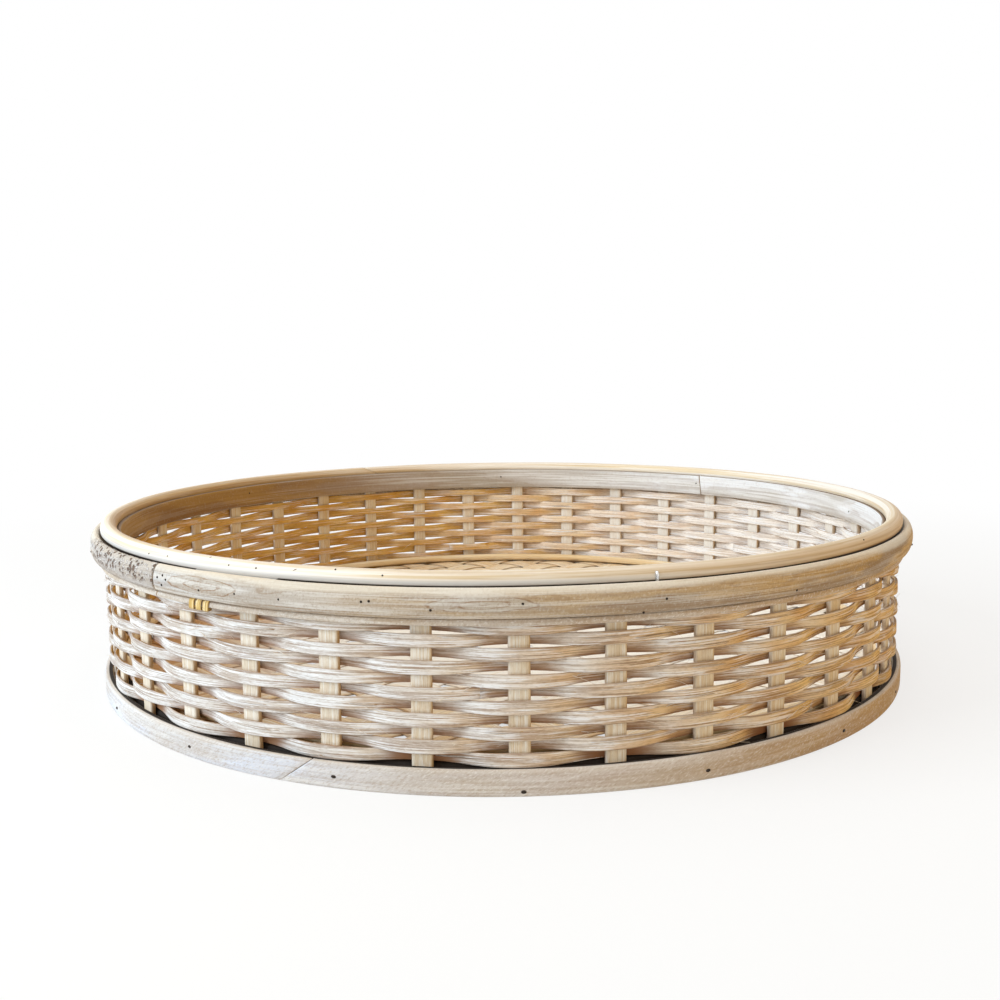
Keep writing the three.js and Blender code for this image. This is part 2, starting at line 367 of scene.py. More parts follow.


# Painted light on the base: a wide ragged oval of painted light, fainter on the undersides, and painted
# shadow on its edge towards -X
def paintedLightPool(tree, colour, grain, under, lightPool):
    spot = addNode(tree, "ShaderNodeTexCoord").outputs["Object"]
    place = pairOf(tree, "ShaderNodeVectorMath", "SUBTRACT", spot, lightPool["middle"])
    wander = minus(tree, noiseOf(tree, scaled(tree, grain, lightPool["wanderRates"]), 1, 3), 0.5)
    ragged = times(tree, wander, lightPool["wander"])
    away = plus(tree, lengthOf(tree, scaled(tree, place, lightPool["rates"])), ragged)
    share = stepOf(tree, away, *lightPool["fade"], lightPool["share"], 0)
    share = times(tree, share, stepOf(tree, under, 0, 1, 1, lightPool["underShare"]))
    sideways = plus(tree, partsOf(tree, spot)[0], ragged)
    dark = stepOf(tree, sideways, *lightPool["darkFade"], 0, lightPool["darkShare"])
    return blendOf(tree, dark, blendOf(tree, share, colour, lightPool["pale"]), lightPool["dark"])


# One finish for all the split strips, each with its own colours
stripSet = {"tone": (0.36, 0.64), "inner": (0.2 * mm, -0.2 * mm), "innerDeep": 0.6, "spread": 0.045,
            "fleckRates": (430, 1700, 1700), "fleckDetail": (4, 0.7), "paleFleck": (0.52, 0.66),
            "deepFleck": (0.48, 0.34), "deepFleckShare": 0.7, "streakHeight": 0.6}


def stripFinish(name, look):
    material, tree, shader, grain = newMaterial(name, look["roughness"])
    fibres = fibresOf(tree, grain, look)
    tone = stepOf(tree, noiseOf(tree, grain, look["toneRate"], 2), *stripSet["tone"])
    _, across, depth = partsOf(tree, grain)
    inner = stepOf(tree, depth, *stripSet["inner"])
    # painted side light; inner faces lean further towards the warm colours, as painted warm shade inside
    warmSideLight = paintedSideLight(tree, "warmSideLight", times(tree, inner, look["innerLean"]))
    # inner faces take their own pale colour: whitewash, brightened as painted light on the inside
    pale = blendOf(tree, inner, blendOf(tree, tone, look["pale"], look["paleOther"]), look["innerPale"])
    warm = blendOf(tree, tone, look["warm"], look["warmOther"])
    deep = blendOf(tree, warmSideLight, look["deepPale"], look["deep"])
    deepAmount = stepOf(tree, inner, 0, 1, look["deepAmount"], look["deepAmount"] * stripSet["innerDeep"])
    wood = blendOf(tree, warmSideLight, pale, warm)
    colour = washed(tree, wood, deep, deepAmount, warmSideLight, fibres, stripSet["spread"], look)
    # short frayed flecks break up the long lines
    fleck = noiseOf(tree, scaled(tree, grain, stripSet["fleckRates"]), 1, *stripSet["fleckDetail"])
    palest = blendOf(tree, warmSideLight, look["chalk"], warm)
    paleFleck = stepOf(tree, fleck, *stripSet["paleFleck"], 0, look["fleckAmount"])
    colour = blendOf(tree, paleFleck, colour, palest)
    deepShare = look["fleckAmount"] * stripSet["deepFleckShare"]
    colour = blendOf(tree, stepOf(tree, fleck, *stripSet["deepFleck"], 0, deepShare), colour, deep)
    # darker towards the long edges: painted shade where the strip meets its neighbours
    edge = stepOf(tree, sizeOf(tree, across), *look["edge"], 0, look["edgeAmount"])
    colour = blendOf(tree, edge, colour, deep)
    # painted shade: the outer face turns brown where the strip dives behind its neighbours
    diveShade = addNode(tree, "ShaderNodeAttribute", attribute_name="diveShade")
    brown = blendOf(tree, warmSideLight, look["diveShadePale"], look["diveShade"])
    colour = blendOf(tree, diveShade.outputs["Fac"], colour, brown)
    # painted pool of light and painted shadow on the base strips
    if look["lightPool"]:
        colour = paintedLightPool(tree, colour, grain, inner, look["lightPool"])
    feed(tree, shader.inputs["Base Color"], colour)
    height = plus(tree, fibres["Lines"], times(tree, fibres["Streaks"], stripSet["streakHeight"]))
    height = plus(tree, height, times(tree, fleck, look["fleckAmount"]))
    addBump(tree, shader, height, look["bump"])
    return material


# In the looks, pale and warm colours are one surface under painted cool light from -X and painted warm light
# from +X
plainStrip = {"innerLean": 0, "diveShade": paint(112, 64, 30), "diveShadePale": paint(112, 64, 30), "lightPool": None}
weaverLook = {
    **plainStrip, "roughness": 0.76, "lineLength": 24, "lineWidth": 0.42, "patchLength": 15, "toneRate": 34,
    "pale": paint(225, 226, 227), "paleOther": paint(206, 198, 189), "innerPale": paint(252, 250, 247),
    "warm": paint(228, 183, 101), "warmOther": paint(212, 156, 70), "innerLean": 0.6,
    "deep": paint(130, 90, 46), "deepPale": paint(142, 112, 88), "chalk": paint(243, 245, 248),
    "deepAmount": 0.68, "diveShade": paint(128, 78, 38), "diveShadePale": paint(172, 130, 98), "fleckAmount": 0.38,
    "chalkAmount": (0.84, 0.42), "edge": (1.9 * mm, 2.6 * mm), "edgeAmount": 0.4, "bump": 0.0001,
}
stakeLook = {
    **plainStrip, "roughness": 0.7, "lineLength": 22, "lineWidth": 0.26, "patchLength": 14, "toneRate": 34,
    "pale": paint(238, 231, 217), "paleOther": paint(228, 215, 192), "innerPale": paint(240, 236, 228),
    "warm": paint(232, 206, 160), "warmOther": paint(220, 185, 131), "innerLean": 0.2,
    "deep": paint(172, 134, 90), "deepPale": paint(190, 164, 134), "chalk": paint(244, 242, 237),
    "deepAmount": 0.35, "fleckAmount": 0.3, "chalkAmount": (0.85, 0.5), "edge": (3.3 * mm, 4 * mm),
    "edgeAmount": 0.5, "bump": 0.00016,
}
baseStripLook = {
    **plainStrip, "roughness": 0.66, "lineLength": 30, "lineWidth": 0.4, "patchLength": 24, "toneRate": 24,
    "pale": paint(243, 224, 188), "paleOther": paint(233, 204, 158), "innerPale": paint(240, 216, 176),
    "warm": paint(243, 224, 188), "warmOther": paint(233, 204, 158), "deep": paint(168, 118, 66),
    "deepPale": paint(168, 118, 66), "chalk": paint(247, 242, 232), "deepAmount": 0.45, "fleckAmount": 0.15,
    "diveShade": paint(96, 58, 26), "diveShadePale": paint(96, 58, 26), "chalkAmount": (0.6, 0.6),
    "edge": (5.6 * mm, 7 * mm), "edgeAmount": 0.35, "bump": 0.0003,
    "lightPool": {"middle": (50 * mm, 0, 0), "rates": (0.69, 1, 0), "fade": (100 * mm, 168 * mm), "share": 0.75,
               "underShare": 0.15, "wanderRates": (9, 210, 0), "wander": 190 * mm,
               "pale": paint(248, 244, 236), "darkFade": (-95 * mm, -165 * mm), "darkShare": 0.85,
               "dark": paint(180, 126, 64)},
}
peelLook = {
    **plainStrip, "roughness": 0.42, "lineLength": 12, "lineWidth": 0.3, "patchLength": 10, "toneRate": 60,
    "pale": paint(228, 198, 128), "paleOther": paint(212, 176, 100), "innerPale": paint(220, 186, 112),
    "warm": paint(228, 198, 128), "warmOther": paint(212, 176, 100), "deep": paint(146, 100, 40),
    "deepPale": paint(146, 100, 40), "chalk": paint(247, 234, 194), "deepAmount": 0.5, "fleckAmount": 0.1,
    "chalkAmount": (0.7, 0.7), "edge": (1.1 * mm, 1.6 * mm), "edgeAmount": 0.7, "bump": 0.0001,
}
fibreLook = {
    **plainStrip, "roughness": 0.75, "lineLength": 6, "lineWidth": 0.4, "patchLength": 10, "toneRate": 90,
    "pale": paint(246, 242, 235), "paleOther": paint(226, 210, 188), "innerPale": paint(240, 234, 224),
    "warm": paint(244, 224, 186), "warmOther": paint(222, 184, 132), "deep": paint(170, 128, 86),
    "deepPale": paint(190, 166, 140), "chalk": paint(249, 247, 244), "deepAmount": 0.25, "fleckAmount": 0.1,
    "chalkAmount": (0.8, 0.6), "edge": (2 * mm, 3 * mm), "edgeAmount": 0.0, "bump": 0.00005,
}
weaverFinish = stripFinish("weaverStrip", weaverLook)
stakeFinish = stripFinish("stakeStrip", stakeLook)
baseFinish = stripFinish("baseStrip", baseStripLook)
peelFinish = stripFinish("lashingPeel", peelLook)
fibreFinish = stripFinish("looseFibre", fibreLook)


# The end of the pole before its joint is full of worm-like pits
pittedSet = {"upper": (-3.5 * mm, -0.5 * mm), "lowerShare": 0.15, "stretch": (0.75, 1, 1), "pitSpacing": 1.9,
             "crumbSpacing": 1.25, "size": 0.5, "share": 0.6, "groundShare": 0.5, "crumbShare": 0.7,
             "pitShare": 0.8, "pitDepth": 3.5, "crumbHeight": 2}


def pittedEnd(tree, grain, colour, height, look):
    along, _, high = partsOf(tree, grain)
    pitted = stepOf(tree, along, *look["pitted"])
    where = times(tree, pitted, stepOf(tree, high, *pittedSet["upper"], pittedSet["lowerShare"], 1))
    stretched = scaled(tree, grain, pittedSet["stretch"])

    def pitsAt(spacing):
        pits = placeGroup(tree, pitGroup, Grain=stretched, Spacing=spacing, Size=pittedSet["size"],
                          Share=pittedSet["share"])[0]
        return times(tree, pits, where)

    pit, crumb = pitsAt(pittedSet["pitSpacing"]), pitsAt(pittedSet["crumbSpacing"])
    colour = blendOf(tree, times(tree, pitted, pittedSet["groundShare"]), colour, look["pittedGround"])
    colour = blendOf(tree, times(tree, crumb, pittedSet["crumbShare"]), colour, look["crumb"])
    colour = blendOf(tree, times(tree, pit, pittedSet["pitShare"]), colour, look["pit"])
    height = minus(tree, height, times(tree, pit, pittedSet["pitDepth"]))
    return colour, plus(tree, height, times(tree, crumb, pittedSet["crumbHeight"]))


# Split pole, sanded and whitewashed: stains, ovals of grain, specks, chalk and pits, with painted side light,
# a painted highlight along the top edge and painted shadow in the gap along it
poleSet = {"stain": (0.42, 0.62), "stainRing": (0.12, 0.02), "ovalInside": (1.05, 0.85), "ovalShare": 0.75,
           "ovalRings": 2.2, "ovalRing": (0.14, 0.03), "ovalNear": (1.3, 1.1), "ringShare": 0.75,
           "spread": 0.09, "speckDetail": (2, 0.65), "speck": (0.54, 0.68), "fleck": (0.46, 0.32),
           "topHighlightWaver": 4 * mm, "gapShadeFade": 0.5 * mm, "gapShadeShare": 0.97, "lineHeight": 0.7,
           "speckHeight": 0.9}


def poleFinish(name, look):
    material, tree, shader, grain = newMaterial(name, look["roughness"])
    fibres = fibresOf(tree, grain, look)
    # painted side light: warm colours on faces towards +X, pale ones towards -X
    warmSideLight = paintedSideLight(tree, "warmSideLight")
    stain = noiseOf(tree, scaled(tree, grain, look["stainRate"]), 1, 3)
    darker = blendOf(tree, warmSideLight, look["paleStain"], look["warmStain"])
    wood = blendOf(tree, stepOf(tree, stain, *poleSet["stain"]), paintedSideColour(tree, look), darker)
    waves = mathOf(tree, "PINGPONG", times(tree, stain, look["ringCount"]), 0.5)
    ringLine = times(tree, stepOf(tree, waves, *poleSet["stainRing"]), look["ringAmount"])
    for oval in look["ovals"]:
        reach = placeGroup(tree, ovalGroup, Grain=grain, **oval)[0]
        inside = times(tree, stepOf(tree, reach, *poleSet["ovalInside"]), poleSet["ovalShare"])
        wood = blendOf(tree, inside, wood, look["ovalGround"])
        rings = mathOf(tree, "PINGPONG", times(tree, reach, poleSet["ovalRings"]), 0.5)
        near = stepOf(tree, reach, *poleSet["ovalNear"])
        ringLine = larger(tree, ringLine, times(tree, stepOf(tree, rings, *poleSet["ovalRing"]), near))
    wood = blendOf(tree, times(tree, ringLine, poleSet["ringShare"]), wood, look["deep"])
    colour = washed(tree, wood, look["deep"], look["deepAmount"], warmSideLight, fibres, poleSet["spread"], look)
    specks = noiseOf(tree, grain, look["speckRate"], *poleSet["speckDetail"])
    speck = stepOf(tree, specks, *poleSet["speck"], 0, look["speckAmount"])
    colour = blendOf(tree, speck, colour, look["speck"])
    fleck = stepOf(tree, specks, *poleSet["fleck"], 0, look["fleckAmount"])
    colour = blendOf(tree, fleck, colour, look["chalk"])
    _, outward, high = partsOf(tree, grain)
    # painted highlight along the top edge
    uneven = plus(tree, high, times(tree, stain, poleSet["topHighlightWaver"]))
    topHighlight = stepOf(tree, uneven, *look["topHighlightEdge"], 0, look["topHighlightAmount"])
    colour = blendOf(tree, topHighlight, colour, look["topHighlightColour"])
    # painted shadow in the gap along the top edge
    if look["gapShadeEdge"]:
        near = stepOf(tree, outward, look["gapShadeReach"], look["gapShadeReach"] - poleSet["gapShadeFade"])
        gapShaded = stepOf(tree, high, *look["gapShadeEdge"], 0, poleSet["gapShadeShare"])
        colour = blendOf(tree, times(tree, near, gapShaded), colour, look["gapShade"])
    lineHeight = times(tree, fibres["Lines"], poleSet["lineHeight"])
    height = plus(tree, lineHeight, times(tree, specks, poleSet["speckHeight"]))
    if look["pitted"]:
        colour, height = pittedEnd(tree, grain, colour, height, look)
    feed(tree, shader.inputs["Base Color"], colour)
    addBump(tree, shader, height, look["bump"])
    return material


# pale, middle and warm colours are painted side light, as in the strip looks
plainPole = {"ovals": (), "gapShadeEdge": None, "pitted": None}
rimBandLook = {
    **plainPole, "roughness": 0.7, "lineLength": 60, "lineWidth": 0.6, "patchLength": 40,
    "pale": paint(196, 197, 198), "middle": paint(194, 171, 139), "warm": paint(194, 151, 82),
    "paleStain": paint(184, 174, 162), "warmStain": paint(148, 113, 64), "deep": paint(140, 106, 70),
    "chalk": paint(228, 226, 222), "deepAmount": 0.4, "chalkAmount": (0.6, 0.2), "stainRate": (26, 150, 150),
    "ringCount": 5.0, "ringAmount": 0.45, "ovalGround": paint(194, 186, 174),
    "ovals": ({"Along": 29 * mm, "Height": 0.4 * mm, "Length": 19 * mm, "Rise": 3.4 * mm},
              {"Along": 139 * mm, "Height": 0, "Length": 20 * mm, "Rise": 2.9 * mm}),
    "speckRate": 1100, "speckAmount": 0.3, "speck": paint(144, 116, 86), "fleckAmount": 0.2,
    "topHighlightEdge": (4.2 * mm, 6.8 * mm), "topHighlightAmount": 0.6, "topHighlightColour": paint(238, 230, 214),
    "pitted": (1.15, 1.18), "pittedGround": paint(176, 166, 158), "crumb": paint(226, 222, 220),
    "pit": paint(104, 74, 54), "bump": 0.0003,
}
baseBandLook = {
    **plainPole, "roughness": 0.72, "lineLength": 40, "lineWidth": 0.9, "patchLength": 60,
    "pale": paint(220, 228, 243), "middle": paint(203, 192, 180), "warm": paint(189, 150, 96),
    "paleStain": paint(211, 210, 211), "warmStain": paint(182, 140, 88), "deep": paint(164, 130, 92),
    "chalk": paint(236, 233, 229), "deepAmount": 0.25, "chalkAmount": (0.5, 0.15), "stainRate": (16, 90, 90),
    "ringCount": 3.0, "ringAmount": 0.15, "speckRate": 1300, "speckAmount": 0.42,
    "speck": paint(166, 138, 106), "fleckAmount": 0.5, "topHighlightEdge": (5 * mm, 8 * mm), "topHighlightAmount": 0.4,
    "topHighlightColour": paint(238, 231, 220), "gapShadeEdge": (4.62 * mm, 4.8 * mm), "gapShadeReach": 0.5 * mm,
    "gapShade": paint(26, 17, 10), "bump": 0.00028,
}
hoopLook = {**baseBandLook, "gapShadeEdge": (0.5 * mm, 2.5 * mm), "gapShadeReach": 5 * mm, "gapShade": paint(30, 20, 12)}
reedLook = {**baseBandLook, "pale": paint(214, 207, 198), "paleStain": paint(202, 190, 174), "gapShadeEdge": None}
innerBandLook = {
    **plainPole, "roughness": 0.66, "lineLength": 60, "lineWidth": 0.7, "patchLength": 70,
    "pale": paint(243, 247, 252), "middle": paint(174, 163, 149), "warm": paint(164, 124, 66),
    "paleStain": paint(206, 203, 199), "warmStain": paint(138, 98, 46), "deep": paint(130, 90, 48),
    "chalk": paint(242, 243, 243), "deepAmount": 0.22, "chalkAmount": (0.6, 0.08), "stainRate": (14, 80, 80),
    "ringCount": 4.0, "ringAmount": 0.2, "speckRate": 700, "speckAmount": 0.12, "speck": paint(144, 112, 76),
    "fleckAmount": 0.05, "topHighlightEdge": (7 * mm, 9 * mm), "topHighlightAmount": 0.2, "topHighlightColour": paint(230, 222, 206),
    "gapShadeEdge": (5.75 * mm, 6.05 * mm), "gapShadeReach": 5 * mm, "gapShade": paint(112, 88, 64), "bump": 0.00012,
}
rimBandFinish = poleFinish("whitewashedPole", rimBandLook)
baseBandFinish = poleFinish("sandedBand", baseBandLook)
hoopFinish = poleFinish("baseHoop", hoopLook)
innerBandFinish = poleFinish("innerBand", innerBandLook)
reedFinish = poleFinish("thinReed", reedLook)


# Painted shade: the lower half of the cane's outside is greyer on the sides that face -X, and painted shadow
# darkens the grooves between the cane and the two bands, but not where they lie tight
def paintedCaneShade(tree, grain, warmSideLight, colour, look):
    along, outward, upward = partsOf(tree, grain)
    lower = times(tree, stepOf(tree, upward, *look["lower"]), stepOf(tree, outward, *look["outer"]))
    underShade = times(tree, lower, stepOf(tree, warmSideLight, *look["underShadeFade"], look["underShadeAmount"], 0))
    colour = blendOf(tree, underShade, colour, look["underShade"])
    fromTight = sizeOf(tree, minus(tree, along, look["tightMiddle"]))
    under = times(tree, stepOf(tree, upward, *look["groove"]), stepOf(tree, fromTight, *look["tightFade"]))
    aside = stepOf(tree, sizeOf(tree, outward), *look["aside"])
    return blendOf(tree, times(tree, under, aside), colour, look["gapShade"])


# Round cane with its satin skin
caneSet = {"specular": 0.5, "tone": (0.38, 0.62), "deepLine": (0.46, 0.3), "chalkPatch": (0.5, 0.66),
           "dots": {"Spacing": 14, "Size": 0.035, "Share": 0.5}, "roughPatch": (0.3, 0.7), "smoother": 0.06,
           "rougher": 0.1}


def caneFinish(name, look):
    material, tree, shader, grain = newMaterial(name, look["roughness"], caneSet["specular"])
    lines, streaks, patches = fibresOf(tree, grain, look)
    # painted side light: warm colours on faces towards +X, pale ones towards -X
    warmSideLight = paintedSideLight(tree, "warmSideLight")
    tone = stepOf(tree, streaks, *caneSet["tone"])
    pale = blendOf(tree, tone, look["pale"], look["paleOther"])
    warm = blendOf(tree, tone, look["warm"], look["warmOther"])
    colour = blendOf(tree, warmSideLight, pale, warm)
    deepLine = stepOf(tree, lines, *caneSet["deepLine"], 0, look["deepAmount"])
    colour = blendOf(tree, deepLine, colour, look["deep"])
    chalkAmount = stepOf(tree, warmSideLight, 0, 1, *look["chalkAmount"])
    chalky = times(tree, stepOf(tree, patches, *caneSet["chalkPatch"]), chalkAmount)
    colour = blendOf(tree, chalky, colour, look["chalk"])
    dots = placeGroup(tree, pitGroup, Grain=grain, **caneSet["dots"])[0]
    colour = blendOf(tree, dots, colour, look["dot"])
    if look["groove"]:
        colour = paintedCaneShade(tree, grain, warmSideLight, colour, look)
    feed(tree, shader.inputs["Base Color"], colour)
    smooth, rough = look["roughness"] - caneSet["smoother"], look["roughness"] + caneSet["rougher"]
    feed(tree, shader.inputs["Roughness"], stepOf(tree, patches, *caneSet["roughPatch"], smooth, rough))
    addBump(tree, shader, lines, look["bump"])
    return material


# pale and warm colours are painted side light, as in the strip looks
topCaneLook = {
    "roughness": 0.5, "lineLength": 90, "lineWidth": 0.45, "patchLength": 60,
    "pale": paint(245, 240, 231), "paleOther": paint(226, 208, 174), "warm": paint(196, 156, 90),
    "warmOther": paint(166, 121, 57), "deep": paint(170, 130, 78), "chalk": paint(247, 243, 234),
    "deepAmount": 0.45, "chalkAmount": (0.5, 0.12), "dot": paint(90, 60, 40), "bump": 0.00012,
    "underShade": paint(204, 204, 205), "underShadeAmount": 0.85, "underShadeFade": (0.25, 0.75),
    "lower": (1.6 * mm, -0.2 * mm), "outer": (1 * mm, 3 * mm), "groove": (-0.75 * mm, -1.3 * mm),
    "aside": (1 * mm, 2.2 * mm), "tightMiddle": 415 * mm, "tightFade": (19 * mm, 20 * mm),
    "gapShade": paint(38, 26, 18),
}
ringCaneLook = {
    "roughness": 0.5, "lineLength": 70, "lineWidth": 0.4, "patchLength": 40,
    "pale": paint(236, 214, 172), "paleOther": paint(222, 190, 140), "warm": paint(236, 214, 172),
    "warmOther": paint(222, 190, 140), "deep": paint(176, 132, 76), "chalk": paint(246, 234, 210),
    "deepAmount": 0.45, "chalkAmount": (0.5, 0.5), "dot": paint(110, 74, 44), "bump": 0.00012, "groove": None,
}
topCaneFinish = caneFinish("topCane", topCaneLook)
ringCaneFinish = caneFinish("ringCane", ringCaneLook)


# Steel of the nails, stained by rust
metalSet = {"metallic": 0.85, "specular": 0.5, "stainRate": 2500, "stain": (0.45, 0.65), "rougher": 0.25}


def metalFinish(name, colour, roughness, rust):
    material, tree, shader, grain = newMaterial(name, roughness, metalSet["specular"])
    shader.inputs["Metallic"].default_value = metalSet["metallic"]
    stain = stepOf(tree, noiseOf(tree, grain, metalSet["stainRate"], 3), *metalSet["stain"])
    feed(tree, shader.inputs["Base Color"], blendOf(tree, stain, colour, rust))
    rough = stepOf(tree, stain, 0, 1, roughness, roughness + metalSet["rougher"])
    feed(tree, shader.inputs["Roughness"], rough)
    return material


tackFinish = metalFinish("dulledTack", paint(60, 52, 46), 0.45, paint(32, 24, 18))
wireFinish = metalFinish("brightWire", paint(226, 228, 232), 0.2, paint(150, 146, 142))
print("finishes made")


# Mesh helpers

def newMesh():
    bm = bmesh.new()
    bm.verts.layers.float_vector.new("grain")
    bm.verts.layers.float.new("diveShade")
    return bm


# A strip, stick or fibre: a grid whose two long sides are joined, put along a path by place(along, turn),
# which gives the spot, the grain and, for some strips, how much painted shade the spot gets
def addStrand(bm, alongSteps, aroundSteps, place):
    grid = bmesh.ops.create_grid(bm, x_segments=alongSteps, y_segments=aroundSteps, size=0.5)["verts"]
    grainLayer = bm.verts.layers.float_vector["grain"]
    diveShadeLayer = bm.verts.layers.float["diveShade"]
    for v in grid:
        v.co, v[grainLayer], *diveShade = place(v.co.x + 0.5, (v.co.y + 0.5) * fullTurn)
        v[diveShadeLayer] = diveShade[0] if diveShade else 0
    bmesh.ops.remove_doubles(bm, verts=grid, dist=1e-6)
    ends = {e for v in grid if v.is_valid for e in v.link_edges if e.is_boundary}
    if ends:
        bmesh.ops.holes_fill(bm, edges=list(ends), sides=0)


# A hoop bent from one length: a closed outline spun round from its joint, with its two ends eased
def bendHoop(outline, setting, sway):
    bm = newMesh()
    loop = bmesh.ops.create_circle(bm, segments=len(outline), radius=1)["verts"]
    for v, (radius, z) in zip(loop, outline):
        v.co = Vector((0, -radius, z))
    radius = sum(r for r, z in outline) / len(outline)
    low, high = min(z for r, z in outline), max(z for r, z in outline)
    middle = (low + high) / 2
    joint = math.radians(setting["joint"])
    halfGap = setting["gap"] / 2 / radius
    bmesh.ops.rotate(bm, verts=loop, cent=(0, 0, 0), matrix=Matrix.Rotation(joint + halfGap, 3, "Z"))
    bmesh.ops.spin(bm, geom=bm.verts[:] + bm.edges[:], cent=(0, 0, 0), axis=(0, 0, 1),
                   angle=fullTurn - 2 * halfGap, steps=setting["steps"], use_merge=False, use_duplicate=False)
    rims = [e for e in bm.edges if e.is_boundary]
    bmesh.ops.holes_fill(bm, edges=rims, sides=0)
    bmesh.ops.bevel(bm, geom=rims, offset=setting["easing"], segments=3, profile=0.5, affect="EDGES",
                    material=-1)
    layer = bm.verts.layers.float_vector["grain"]
    for v in bm.verts:
        angle = angleOf(v.co)
        r = v.co.to_2d().length
        v[layer] = Vector(((angle - joint) % fullTurn * radius, r - radius, v.co.z - middle))
        lean = setting["lean"] * (v.co.z - middle) / (high - low) / radius
        outward, upward = sway(angle, r, v.co.z)
        v.co = around(angle + lean, r + outward, v.co.z + upward)
    return bm


def boxOutline(inside, outside, low, high, corner, count):
    turns = [k * fullTurn / count for k in range(count)]
    return [((inside + outside) / 2 + (outside - inside) / 2 * powered(math.cos(t), corner),
             (low + high) / 2 + (high - low) / 2 * powered(math.sin(t), corner)) for t in turns]


# The waviness of a bent hoop
def swayOf(setting):
    amount, rate, seed = setting["sway"], setting["swayRate"], setting["seed"]

    def sway(angle, r, z):
        x, y = rate * math.cos(angle), rate * math.sin(angle)
        return amount * drift(x, y, seed), amount * setting["swayUp"] * drift(x, y, seed + 5)

    return sway


def finishPiece(name, bm, material, replaced=()):
    bmesh.ops.recalc_face_normals(bm, faces=bm.faces[:])
    for face in bm.faces:
        face.smooth = True
    mesh = bpy.data.meshes.new(name)
    bm.to_mesh(mesh)
    bm.free()
    mesh.materials.append(material)
    piece = bpy.data.objects.new(name, mesh)
    bpy.context.scene.collection.objects.link(piece)
    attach(piece, "root")
    if replaced:
        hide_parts(*replaced)
    return piece


def makeRoundHoop(name, node, setting, finish):
    low, high = heightsOf(node)
    half = (high - low) / 2
    outline = boxOutline(setting["radius"] - half, setting["radius"] + half, low, high, 1, setting["facets"])
    finishPiece(name, bendHoop(outline, setting, swayOf(setting)), finish, [node])


def makeFlatHoop(name, node, setting, finish):
    low, high = setting.get("heights", heightsOf(node))
    outline = boxOutline(setting["inside"], setting["outside"], low, high, setting["corner"],
                         setting["facets"])
    finishPiece(name, bendHoop(outline, setting, swayOf(setting)), finish, [node])


# Stakes: flat upright strips with rounded edges, each a little out of true
stakeSet = {"width": 7.9 * mm, "widthShares": (0.95, 1.04), "thickness": 2.3 * mm, "corner": 0.42,
            "lean": 0.5 * mm, "leanFrom": 0.4, "ripple": 0.03, "bow": 0.1 * mm, "steps": 18, "facets": 20,
            "seed": 11}


def makeStake(angle, node, chance):
    low, high = heightsOf(node)
    lean = chance.uniform(-1, 1) * stakeSet["lean"]
    width = stakeSet["width"] * chance.uniform(*stakeSet["widthShares"])
    offset = chance.uniform(0, 50)

    def place(along, turn):
        across = width / 2 * powered(math.cos(turn), stakeSet["corner"])
        across *= 1 + stakeSet["ripple"] * drift(along * 5, offset)
        depth = stakeSet["thickness"] / 2 * powered(math.sin(turn), stakeSet["corner"])
        z = low + (high - low) * along
        out = wallRadius + depth + stakeSet["bow"] * drift(along * 3, offset, 7)
        aside = across + lean * (along - stakeSet["leanFrom"])
        return around(angle, out, z) + onward(angle) * aside, Vector((z + offset, across, depth))

    bm = newMesh()
    addStrand(bm, stakeSet["steps"], stakeSet["facets"], place)
    finishPiece(node.replace("stake", "stake_strip"), bm, stakeFinish, [node])


stakeChance = random.Random(stakeSet["seed"])
for angle, node in zip(stakeAngles, stakeNodes):
    makeStake(angle, node, stakeChance)
print("stakes made:", stakeCount)


# Rows of weaving: strips that bulge where they pass in front of a stake and narrow behind it
weaverSet = {"outsideWidth": 5.1 * mm, "crossWidth": 4.5 * mm, "insideWidth": 3.75 * mm, "widthPower": 1.3,
             "bulge": 0.09, "ripple": 0.03, "thickness": 1.1 * mm, "edge": 0.3, "swing": 2.25 * mm,
             "swingWaver": 0.08, "wander": 0.3 * mm, "twist": 0.16, "stepsPerStake": 12, "facets": 16,
             "lap": 0.8, "lapLift": 1.15 * mm, "tightShare": 0.16, "tightMiddle": 128, "tightReach": 62,
             "tightFade": 15, "diveShade": (0.05, -0.8), "diveShadeLow": (0.3, -0.75), "diveShadeShares": (0.15, 0.6),
             "seed": 23}


